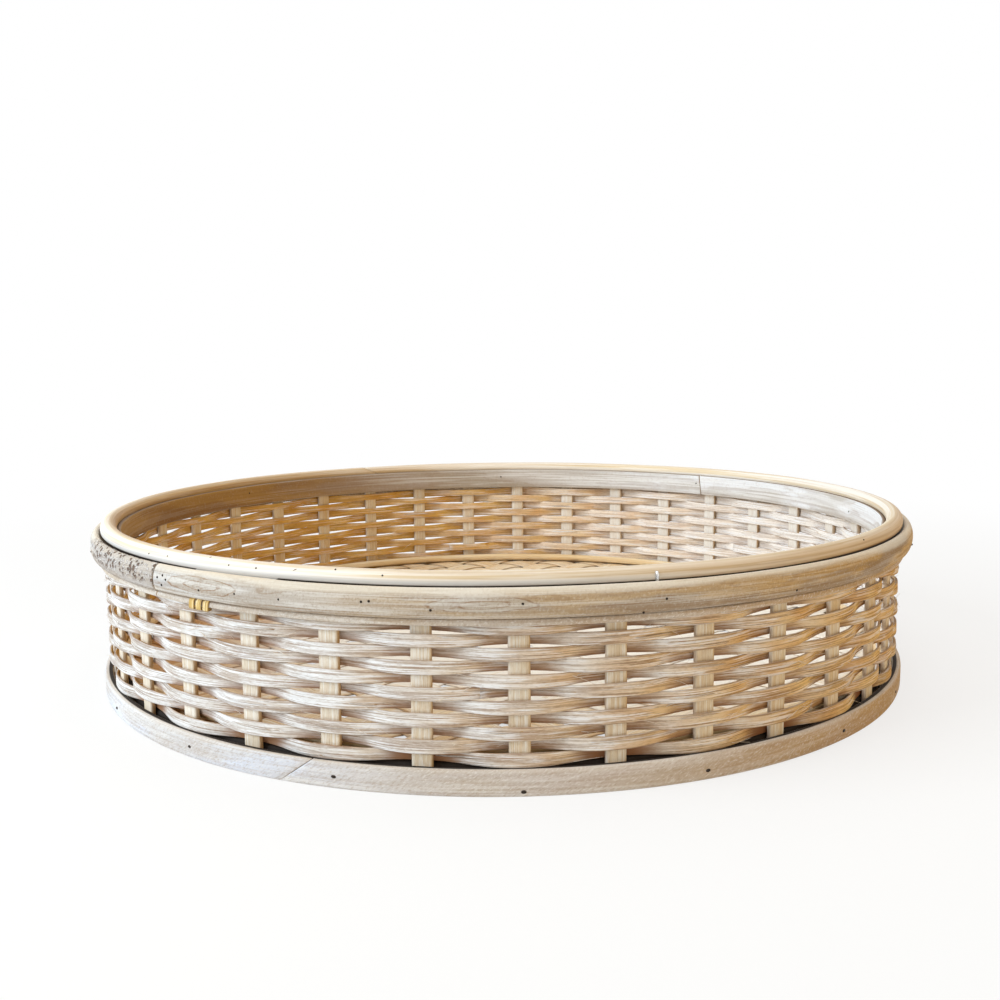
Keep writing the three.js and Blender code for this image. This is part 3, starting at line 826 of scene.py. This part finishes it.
class WeaverRow:
    def __init__(self, row, node, chance):
        self.row = row
        self.node = node
        self.height = middleOf(node).z
        self.start = 2 * chance.randrange(stakeCount // 2) + (row + 1) % 2 - weaverSet["lap"] / 2
        self.offset = chance.uniform(0, 60)

    def phase(self, place):
        return math.cos(math.pi * (place + self.row))  # 1 in front of a stake, -1 behind one

    def halfWidth(self, place):
        phase = self.phase(place)
        crest = weaverSet["outsideWidth"] if phase > 0 else weaverSet["insideWidth"]
        crestShare = abs(phase) ** weaverSet["widthPower"]
        width = weaverSet["crossWidth"] + (crest - weaverSet["crossWidth"]) * crestShare
        # the weaving closes up at the back right
        away = (math.degrees(stakeAngle(place)) - weaverSet["tightMiddle"] + 180) % 360 - 180
        tight = soft(weaverSet["tightReach"], weaverSet["tightReach"] - weaverSet["tightFade"], abs(away))
        width *= 1 + weaverSet["tightShare"] * tight
        bulge = weaverSet["bulge"] * drift(place * 1.1, self.offset, 3)
        return width / 2 * (1 + bulge + weaverSet["ripple"] * drift(place * 9, self.offset, 5))

    # painted shade on the lower half of the outer face where the strip dives behind a stake, and on the whole
    # dive of the lowest row
    def diveShade(self, place, share, depth):
        diving = soft(*weaverSet["diveShade"], self.phase(place)) * soft(-0.1, 0.1, depth / mm)
        if self.row == 0:
            return diving
        least, more = weaverSet["diveShadeShares"]
        return diving * (least + more * soft(*weaverSet["diveShadeLow"], share))

    # a point of the strip, across its width and through its thickness
    def spot(self, place, across, depth, laid=0.0):
        phase = self.phase(place)
        swing = weaverSet["swing"] * phase * (1.3 - 0.3 * phase * phase)  # flatter at the crests
        swing *= 1 + weaverSet["swingWaver"] * drift(place * 0.9, self.offset)
        z = self.height + across + weaverSet["wander"] * drift(place * 0.7, self.offset, 9)
        tilt = across * weaverSet["twist"] * drift(place * 0.8, self.offset, 12)
        return around(stakeAngle(place), wallRadius + swing - laid + depth + tilt, z)


def makeRow(weaver):
    length = stakeCount + weaverSet["lap"]

    def place(along, turn):
        at = along * length
        here = weaver.start + at
        share = powered(math.cos(turn), weaverSet["edge"])
        across = weaver.halfWidth(here) * share
        depth = weaverSet["thickness"] / 2 * powered(math.sin(turn), weaverSet["edge"])
        laid = weaverSet["lapLift"] * soft(stakeCount, stakeCount + weaverSet["lap"] * 0.5, at)
        grain = Vector((at * stakeStep * wallRadius + weaver.offset, across, depth))
        return weaver.spot(here, across, depth, laid), grain, weaver.diveShade(here, share, depth)

    bm = newMesh()
    addStrand(bm, int(length * weaverSet["stepsPerStake"]), weaverSet["facets"], place)
    name = weaver.node.replace("weaver_row", "weaver_strip")
    finishPiece(name, bm, weaverFinish, [weaver.node])


rowChance = random.Random(weaverSet["seed"])
weavers = [WeaverRow(row, node, rowChance) for row, node in enumerate(rowNodes)]
for weaver in weavers:
    makeRow(weaver)
print("rows of weaving made:", len(weavers))


# Loose fibres that stand off the strips, and slivers that lie along them
outsideShare = 0.75  # of both, the others stand on the inside
fibreSet = {"count": 520, "length": (3 * mm, 11 * mm), "thickness": (0.2 * mm, 0.36 * mm),
            "near": (-0.42, 0.25), "slope": 0.35, "curl": 0.3, "lift": (0.04, 0.28), "taper": 0.7,
            "steps": 6, "facets": 3, "seed": 53}
sliverSet = {"count": 160, "length": (0.25, 0.6), "width": (0.4 * mm, 0.9 * mm), "thickness": 0.22 * mm,
             "lift": (0.05 * mm, 0.5 * mm), "rank": 0.8, "skew": 0.25, "sunk": 0.05 * mm, "steps": 9,
             "facets": 4, "seed": 59}


def addFibre(bm, chance):
    weaver = chance.choice(weavers)
    side = 1 if chance.random() < outsideShare else -1
    crossing = weaver.row + side * 0.5 + chance.uniform(*fibreSet["near"])
    root = crossing + 2 * chance.randrange(stakeCount // 2)
    climbing = math.sin(math.pi * (root + weaver.row)) * side
    angle = stakeAngle(root)
    ahead = onward(angle) * (1 if climbing > 0 else -1)  # the way in which the strip dives
    outward = around(angle, side, 0)
    across = chance.uniform(-0.95, 0.95) * weaver.halfWidth(root)
    start = weaver.spot(root, across, side * weaverSet["thickness"] * 0.4)
    length = chance.uniform(*fibreSet["length"])
    thickness = chance.uniform(*fibreSet["thickness"])
    slope = chance.uniform(-fibreSet["slope"], fibreSet["slope"])
    curl = chance.uniform(-fibreSet["curl"], fibreSet["curl"]) * length
    lift = chance.uniform(*fibreSet["lift"]) * length
    offset = chance.uniform(0, 9)

    def place(along, turn):
        girth = thickness / 2 * (1 - fibreSet["taper"] * along)
        spot = start + ahead * length * along + outward * (lift * along * along + girth * math.cos(turn))
        spot.z += slope * length * along + curl * along * along + girth * math.sin(turn)
        return spot, Vector((along * length + offset, 0, offset))

    addStrand(bm, fibreSet["steps"], fibreSet["facets"], place)


def addSliver(bm, chance):
    weaver = chance.choice(weavers)
    side = 1 if chance.random() < outsideShare else -1
    start = weaver.row + 2 * chance.randrange(stakeCount // 2) + chance.uniform(-0.5, 0.5)
    start += 0 if side > 0 else 1
    length = chance.uniform(*sliverSet["length"]) * (1 if chance.random() < 0.5 else -1)
    width = chance.uniform(*sliverSet["width"])
    lift = chance.uniform(*sliverSet["lift"])
    rank = chance.uniform(-sliverSet["rank"], sliverSet["rank"])
    skew = chance.uniform(-sliverSet["skew"], sliverSet["skew"])
    offset = chance.uniform(0, 60)

    def place(along, turn):
        here = start + length * along
        taper = math.sin(math.pi * (0.06 + 0.88 * along)) ** 0.7
        across = (rank + skew * along) * weaver.halfWidth(here) + width / 2 * taper * math.cos(turn)
        depth = weaverSet["thickness"] / 2 - sliverSet["sunk"] + lift * along * along
        depth += sliverSet["thickness"] / 2 * taper * (1 + math.sin(turn))
        spot = weaver.spot(here, across, side * depth)
        return spot, Vector((along * length * 0.034 + offset, width * math.cos(turn), offset))

    addStrand(bm, sliverSet["steps"], sliverSet["facets"], place)


def makeLoose(name, setting, addOne, finish):
    chance = random.Random(setting["seed"])
    bm = newMesh()
    for _ in range(setting["count"]):
        addOne(bm, chance)
    finishPiece(name, bm, finish)


makeLoose("loose_fibres", fibreSet, addFibre, fibreFinish)
makeLoose("lifted_slivers", sliverSet, addSliver, weaverFinish)
print("fibres made")


# Rim: outer half-round band, top cane, inner band and the thin reed below
topCaneSet = {"joint": -153.3, "gap": 0.15 * mm, "radius": 191.8 * mm, "facets": 24, "steps": 300,
              "easing": 0.5 * mm, "lean": 14 * mm, "sway": 0.2 * mm, "swayRate": 3, "swayUp": 1, "seed": 21}
reedSet = {"joint": -43.3, "gap": 0.5 * mm, "inside": 194.2 * mm, "outside": 196.5 * mm,
           "heights": (60.9 * mm, 63.5 * mm), "corner": 0.65, "facets": 16, "steps": 260, "easing": 0.3 * mm,
           "lean": 1 * mm, "sway": 0.22 * mm, "swayRate": 5, "swayUp": 1, "seed": 61}
caneLow, caneHigh = heightsOf("rim_top_cane")
caneMiddle, caneHalf = (caneLow + caneHigh) / 2, (caneHigh - caneLow) / 2
rimLow, rimHigh = heightsOf("rim_outer_band")


# a point of the top cane's face, or of a layer that stands off it
def caneFace(degrees, stand=0.0):
    turn = math.radians(degrees)
    reach = caneHalf + stand
    return topCaneSet["radius"] + reach * math.cos(turn), caneMiddle + reach * math.sin(turn)


# points of the hollow that the top cane lies in
def caneBed(gap, fromTurn, toTurn, count=6):
    return [caneFace(fromTurn + (toTurn - fromTurn) * k / (count - 1), gap) for k in range(count)]


# The outer band's foot is given as radius and height above its lower edge, the place where it lies tight
# against the cane in degrees
rimBandSet = {"joint": -42.3, "gap": 0.5 * mm, "crest": 197.1 * mm, "outside": 200.0 * mm, "roundness": 0.9,
              "foot": ((195 * mm, 0), (193.7 * mm, 0.2 * mm), (192.8 * mm, 1 * mm), (192.8 * mm, 3 * mm),
                       (192.8 * mm, 5 * mm)),
              "bedGap": 0.95 * mm, "bed": (-77, -19), "steps": 300, "easing": 0.8 * mm, "lean": 1.5 * mm,
              "sway": 0.3 * mm, "swayRate": 3, "swayUp": 1, "seed": 1, "tight": (-35.0, -23.5),
              "tightFade": 0.03, "tightBy": 0.95 * mm, "loose": 0.35 * mm,
              "crestHeights": (72.5 * mm, 74.4 * mm), "crestRadii": (198.6 * mm, 197 * mm)}


# a point of the outer band's round face, from 90 at its top edge through 0 to -90
def rimFace(degrees):
    turn = math.radians(degrees)
    bulge = rimBandSet["outside"] - rimBandSet["crest"]
    return (rimBandSet["crest"] + bulge * max(math.cos(turn), 0) ** rimBandSet["roundness"],
            (rimLow + rimHigh) / 2 + (rimHigh - rimLow) / 2 * math.sin(turn))


def makeRimBand():
    outline = [rimFace(90 - 9 * k) for k in range(21)]
    outline += [(radius, rimLow + up) for radius, up in rimBandSet["foot"]]
    outline += caneBed(rimBandSet["bedGap"], *rimBandSet["bed"])
    wave = swayOf(rimBandSet)
    tightFrom, tightTo = (math.radians(degrees) for degrees in rimBandSet["tight"])
    fade = rimBandSet["tightFade"]

    def sway(angle, r, z):
        outward, upward = wave(angle, r, z)
        tight = soft(tightFrom, tightFrom + fade, angle) * soft(tightTo, tightTo - fade, angle)
        crest = soft(*rimBandSet["crestHeights"], z) * soft(*rimBandSet["crestRadii"], r)
        loose = rimBandSet["loose"] * drift(angle * 4, 17)
        return outward - crest * (rimBandSet["tightBy"] * tight - loose), upward

    bm = bendHoop(outline, rimBandSet, sway)
    finishPiece("rim_outer_pole", bm, rimBandFinish, ["rim_outer_band"])


innerBandSet = {"joint": 136.7, "gap": 0.3 * mm, "inside": 186.2 * mm, "outside": 190.2 * mm,
                "rise": (0.05, 0.25, 0.45, 0.65, 0.85), "bedGap": 0.3 * mm, "bed": (-171, -112),
                "steps": 260, "easing": 0.4 * mm, "lean": 1.5 * mm, "sway": 0.2 * mm, "swayRate": 3,
                "swayUp": 1, "seed": 41}


def makeInnerBand():
    low, high = heightsOf("rim_inner_band")
    inside, outside = innerBandSet["inside"], innerBandSet["outside"]
    rise = [low + (high - low) * share for share in innerBandSet["rise"]]
    outline = [(outside - 0.3 * mm, low), (inside + 0.4 * mm, low)]
    outline += [(inside, z) for z in rise] + [(inside, high - 0.3 * mm), (inside + 0.35 * mm, high)]
    outline += caneBed(innerBandSet["bedGap"], *innerBandSet["bed"])
    outline += [(outside, z) for z in reversed(rise[:3])]
    bm = bendHoop(outline, innerBandSet, swayOf(innerBandSet))
    finishPiece("rim_inner_strip", bm, innerBandFinish, ["rim_inner_band"])


# Three turns of peel round the reed, one unbroken winding
lashingSet = {"turns": 3, "pitch": 3.9 * mm, "width": 3.2 * mm, "thickness": 0.5 * mm, "clear": 0.2 * mm,
              "sag": 0.45 * mm, "at": -35.2, "squareness": 0.6, "facets": 12, "stepsPerTurn": 28}


def makeLashing():
    inside, outside = reedSet["inside"], reedSet["outside"]
    low, high = reedSet["heights"]
    core = (inside + outside) / 2
    middle = (low + high) / 2 - lashingSet["sag"]
    reach = lashingSet["clear"] + lashingSet["thickness"] / 2
    wide = (outside - inside) / 2 + reach
    tall = (high - low) / 2 + reach + lashingSet["sag"]
    centre = math.radians(lashingSet["at"])
    turns = lashingSet["turns"]

    def place(along, turn):
        wind = (along - 0.5) * turns
        across = lashingSet["width"] / 2 * powered(math.cos(turn), 0.7)
        depth = lashingSet["thickness"] / 2 * powered(math.sin(turn), 0.8)
        cosine, sine = (powered(f(wind * fullTurn), lashingSet["squareness"]) for f in (math.cos, math.sin))
        angle = centre + (wind * lashingSet["pitch"] + across) / core
        spot = around(angle, core + (wide + depth) * cosine, middle + (tall + depth) * sine)
        return spot, Vector((wind * 0.016, across, depth))

    bm = newMesh()
    addStrand(bm, turns * lashingSet["stepsPerTurn"], lashingSet["facets"], place)
    finishPiece("reed_lashing_peel", bm, peelFinish, ["reed_lashing"])


makeRimBand()
makeRoundHoop("rim_top_round_cane", "rim_top_cane", topCaneSet, topCaneFinish)
makeInnerBand()
makeFlatHoop("rim_thin_reed", "rim_lower_reed", reedSet, reedFinish)
makeLashing()
print("rim made")


# Foot: outer band, inner hoop and the cane on the edge of the base
baseBandSet = {"joint": -22.6, "gap": 0.35 * mm, "inside": 192.8 * mm, "outside": 196.8 * mm, "corner": 0.3,
               "facets": 28, "steps": 300, "easing": 0.25 * mm, "lean": 13.5 * mm, "sway": 0.2 * mm,
               "swayRate": 3, "swayUp": 0, "seed": 71}
hoopSet = {"joint": 76.7, "gap": 0.4 * mm, "inside": 185.2 * mm, "outside": 190.2 * mm, "corner": 0.4,
           "facets": 20, "steps": 180, "easing": 0.3 * mm, "lean": 0, "sway": 0.15 * mm, "swayRate": 3,
           "swayUp": 0, "seed": 75}
ringCaneSet = {"joint": 106.7, "gap": 0.4 * mm, "radius": 186.45 * mm, "facets": 14, "steps": 240,
               "easing": 0.3 * mm, "lean": 8 * mm, "sway": 0.3 * mm, "swayRate": 4, "swayUp": 0.5, "seed": 81}
makeFlatHoop("base_outer_strip", "base_outer_band", baseBandSet, baseBandFinish)
makeFlatHoop("base_inner_wood_hoop", "base_inner_hoop", hoopSet, hoopFinish)
makeRoundHoop("base_edge_cane", "base_ring_cane", ringCaneSet, ringCaneFinish)
print("foot made")


# Plaited base: two sets of flat strips at 45 degrees to the front, each over and under the other in turn
baseSet = {"reach": 187.5 * mm, "pitch": 18 * mm, "width": 14.4 * mm, "widthShares": (0.96, 1.04),
           "thickness": 0.9 * mm, "edge": 0.5, "rise": 0.55 * mm, "flatness": 0.7, "waver": 0.35 * mm,
           "diveShade": (-0.15, -0.9), "diveShadeShare": 0.8, "facets": 12, "stepsPerStrip": 6, "seed": 37}
baseMiddle = middleOf("base_mat").z


def addBaseStrip(bm, order, overFirst, chance):
    offset = chance.uniform(0, 40)
    width = baseSet["width"] * chance.uniform(*baseSet["widthShares"])
    middle = (order + 0.5) * baseSet["pitch"]
    limit = baseSet["reach"] - 0.1 * mm

    # the ends are cut round, along the edge of the base
    def place(along, turn):
        share = powered(math.cos(turn), baseSet["edge"])
        depth = baseSet["thickness"] / 2 * powered(math.sin(turn), baseSet["edge"])
        side = min(max(middle + width / 2 * share, -limit), limit)
        s = (2 * along - 1) * math.sqrt(baseSet["reach"] ** 2 - side ** 2)
        side += baseSet["waver"] * drift(s * 14, offset)
        wave = powered(math.cos(math.pi * (s / baseSet["pitch"] - 0.5 + order)), baseSet["flatness"])
        over = wave if overFirst else -wave
        a, b = (s, side) if overFirst else (side, s)
        spot = Vector(((a - b) * math.sqrt(0.5), (a + b) * math.sqrt(0.5), baseMiddle))
        spot.z += baseSet["rise"] * over + depth
        # painted shade where the strip passes under the other set
        diveShade = soft(*baseSet["diveShade"], over) * baseSet["diveShadeShare"]
        return spot, Vector((s + offset, width / 2 * share, depth)), diveShade

    steps = int(2 * baseSet["reach"] / baseSet["pitch"] * baseSet["stepsPerStrip"])
    addStrand(bm, steps, baseSet["facets"], place)


def makeBase():
    chance = random.Random(baseSet["seed"])
    eachSide = math.ceil(baseSet["reach"] / baseSet["pitch"])
    for name, overFirst in (("base_strips_right", True), ("base_strips_left", False)):
        bm = newMesh()
        for order in range(-eachSide, eachSide):
            addBaseStrip(bm, order, overFirst, chance)
        finishPiece(name, bm, baseFinish, ["base_mat"])


makeBase()
print("base made")


# Nails: tacks in the foot band, pins in the rim bands and the cane, and one bright wire pin
tackSet = {"count": 18, "first": 2.0, "height": 3.6 * mm, "size": (1.05 * mm, 0.35 * mm, 0.65 * mm),
           "sunk": 0.05 * mm, "heights": {0: 2.0 * mm, 2: 4.0 * mm, 16: 4.5 * mm, 17: 4.5 * mm},
           "shifts": {2: 1.3}}
# each rim pin as degrees round the tray, then degrees down the face, or its height for the inner band
pinSet = {"band": ((-41.2, 9), (-40.5, -20), (-39.6, 6), (-40.2, 21), (-34, -12), (-28.8, -6), (-23.2, -9),
                   (-14, 3), (-13.2, 6), (-7, -21), (2, 3), (16.5, -3), (14.2, -62), (32.8, -33), (66.8, -24),
                   (-67, -18), (92, 8), (121, -10), (149, 4), (178, -14), (207, 6), (236, -8), (264, 10)),
          "cane": ((-45.2, 18), (-41.2, 27), (-30.8, 30), (-27, 30), (-17.5, 60), (-12.2, 33), (48, 40),
                   (110, 25), (160, 38), (215, 30), (255, 20)),
          "inner": ((137.6, 70.2), (95, 68.5), (236, 71), (60, 69), (10, 70), (300, 69.5), (180, 70.4)),
          "bandSize": 0.5 * mm, "bandSunk": 0.15 * mm, "caneSize": 0.36 * mm, "caneSunk": 0.1 * mm,
          "innerSunk": 0.1 * mm}
wirePinSet = {"at": 16.0, "turns": (34, -50), "thickness": 1.25 * mm, "stand": 0.35 * mm, "dig": 2.5,
              "digShare": 0.12, "steps": 16, "facets": 10}


def addNail(bm, degrees, radius, z, size, offset):
    angle = math.radians(degrees)
    layer = bm.verts.layers.float_vector["grain"]
    head = bmesh.ops.create_uvsphere(bm, u_segments=10, v_segments=6, radius=1)["verts"]
    bmesh.ops.scale(bm, verts=head, vec=size)
    bmesh.ops.rotate(bm, verts=head, cent=(0, 0, 0), matrix=Matrix.Rotation(angle, 3, "Z"))
    bmesh.ops.translate(bm, verts=head, vec=around(angle, radius, z))
    for v in head:
        v[layer] = v.co + Vector((offset, 0, 0))


def makeNails():
    bm = newMesh()
    for index in range(tackSet["count"]):
        degrees = tackSet["first"] + tackSet["shifts"].get(index, 0) + index * 360 / tackSet["count"]
        z = tackSet["heights"].get(index, tackSet["height"])
        addNail(bm, degrees, baseBandSet["outside"] - tackSet["sunk"], z, tackSet["size"], index)
    finishPiece("base_tacks", bm, tackFinish)
    bm = newMesh()
    bandSize, caneSize = [pinSet["bandSize"]] * 3, [pinSet["caneSize"]] * 3
    for index, (degrees, down) in enumerate(pinSet["band"]):
        radius, z = rimFace(down)
        addNail(bm, degrees, radius - pinSet["bandSunk"], z, bandSize, index)
    for index, (degrees, down) in enumerate(pinSet["cane"]):
        addNail(bm, degrees, *caneFace(down, -pinSet["caneSunk"]), caneSize, index)
    for index, (degrees, z) in enumerate(pinSet["inner"]):
        addNail(bm, degrees, innerBandSet["inside"] + pinSet["innerSunk"], z * mm, bandSize, index)
    finishPiece("rim_pins", bm, tackFinish)


# a bright wire bent over the face of the top cane, down into the groove
def makeWirePin():
    angle = math.radians(wirePinSet["at"])
    first, last = wirePinSet["turns"]
    half = wirePinSet["thickness"] / 2
    ends = wirePinSet["digShare"]

    def place(along, turn):
        dig = soft(ends, 0, along) + soft(1 - ends, 1, along)
        stand = wirePinSet["stand"] * (1 - wirePinSet["dig"] * dig)
        radius, z = caneFace(first + (last - first) * along, stand + half * math.cos(turn))
        spot = around(angle, radius, z) + onward(angle) * half * math.sin(turn)
        return spot, spot

    bm = newMesh()
    addStrand(bm, wirePinSet["steps"], wirePinSet["facets"], place)
    finishPiece("rim_wire_pin", bm, wireFinish)


makeNails()
makeWirePin()
print("nails made")


# Camera, floor and light
cameraSet = {"place": (0, -560.2 * mm, 152.4 * mm), "yaw": -0.058, "pitch": 7.484, "roll": -0.604,
             "focalPixels": 1091.4, "framePixels": 1000, "sensor": 36, "nearest": 10 * mm}


def makeCamera():
    data = bpy.data.cameras.new("photoCamera")
    data.sensor_width = cameraSet["sensor"]
    data.lens = cameraSet["sensor"] * cameraSet["focalPixels"] / cameraSet["framePixels"]
    data.clip_start = cameraSet["nearest"]
    camera = bpy.data.objects.new("photoCamera", data)
    bpy.context.scene.collection.objects.link(camera)
    yaw, pitch, roll = (math.radians(cameraSet[key]) for key in ("yaw", "pitch", "roll"))
    forward = Vector((math.sin(yaw) * math.cos(pitch), math.cos(yaw) * math.cos(pitch), -math.sin(pitch)))
    right = Vector((math.cos(yaw), -math.sin(yaw), 0))
    up = right.cross(forward)
    turn = Matrix((right, up, -forward)).transposed().to_4x4() @ Matrix.Rotation(roll, 4, "Z")
    camera.matrix_world = Matrix.Translation(cameraSet["place"]) @ turn
    bpy.context.scene.camera = camera


# what the camera, mirrors and glass see of the surroundings
def seenDirectly(tree):
    path = addNode(tree, "ShaderNodeLightPath")
    seen = larger(tree, path.outputs["Is Camera Ray"], path.outputs["Is Glossy Ray"])
    return larger(tree, seen, path.outputs["Is Transmission Ray"])


def mixInto(tree, output, factor, first, second):
    mix = addNode(tree, "ShaderNodeMixShader")
    feed(tree, mix.inputs[0], factor)
    feed(tree, mix.inputs[1], first.outputs[0])
    feed(tree, mix.inputs[2], second.outputs[0])
    feed(tree, tree.nodes[output].inputs["Surface"], mix.outputs[0])


floorSet = {"size": 12, "colour": paint(240, 240, 238), "roughness": 0.9, "nearGlow": 0.72,
            "fade": (0.26, 0.75)}


def makeFloor():
    bm = bmesh.new()
    bmesh.ops.create_grid(bm, x_segments=1, y_segments=1, size=floorSet["size"] / 2)
    mesh = bpy.data.meshes.new("floor")
    bm.to_mesh(mesh)
    bm.free()
    floor = bpy.data.objects.new("floor", mesh)
    bpy.context.scene.collection.objects.link(floor)
    material = bpy.data.materials.new("paleFloor")
    material.use_nodes = True
    tree = material.node_tree
    shader = tree.nodes["Principled BSDF"]
    shader.inputs["Base Color"].default_value = floorSet["colour"]
    shader.inputs["Roughness"].default_value = floorSet["roughness"]
    away = lengthOf(tree, addNode(tree, "ShaderNodeTexCoord").outputs["Object"])
    glowShare = stepOf(tree, away, *floorSet["fade"], floorSet["nearGlow"], 1)
    glow = addNode(tree, "ShaderNodeEmission")
    mixInto(tree, "Material Output", times(tree, seenDirectly(tree), glowShare), shader, glow)
    mesh.materials.append(material)


lampSet = {
    "windowLeft": {"place": (-1.3, -0.6, 0.82), "size": 1.0, "power": 22, "colour": (0.86, 0.94, 1.0)},
    "fillRight": {"place": (1.3, -1.2, 0.7), "size": 1.4, "power": 8, "colour": (1, 0.8, 0.52)},
    "skyAbove": {"place": (-0.1, 0.15, 1.7), "size": 2.2, "power": 16.5, "colour": (1, 0.98, 0.95)},
}
worldSet = {"colour": (1, 0.94, 0.86, 1), "strength": 0.3}


def makeLamps():
    for name, lamp in lampSet.items():
        data = bpy.data.lights.new(name, "AREA")
        data.size = lamp["size"]
        data.energy = lamp["power"]
        data.color = lamp["colour"]
        lampObject = bpy.data.objects.new(name, data)
        bpy.context.scene.collection.objects.link(lampObject)
        lampObject.location = lamp["place"]
        lampObject.rotation_euler = (-Vector(lamp["place"])).to_track_quat("-Z", "Y").to_euler()


def makeWorld():
    world = bpy.data.worlds.new("paleRoom")
    world.use_nodes = True
    tree = world.node_tree
    room = tree.nodes["Background"]
    room.inputs["Color"].default_value = worldSet["colour"]
    room.inputs["Strength"].default_value = worldSet["strength"]
    white = addNode(tree, "ShaderNodeBackground")
    white.inputs["Color"].default_value = (1, 1, 1, 1)
    mixInto(tree, "World Output", seenDirectly(tree), room, white)
    bpy.context.scene.world = world


makeCamera()
makeFloor()
makeLamps()
makeWorld()
bpy.context.scene.view_settings.view_transform = "Standard"
print("camera, floor and light made")
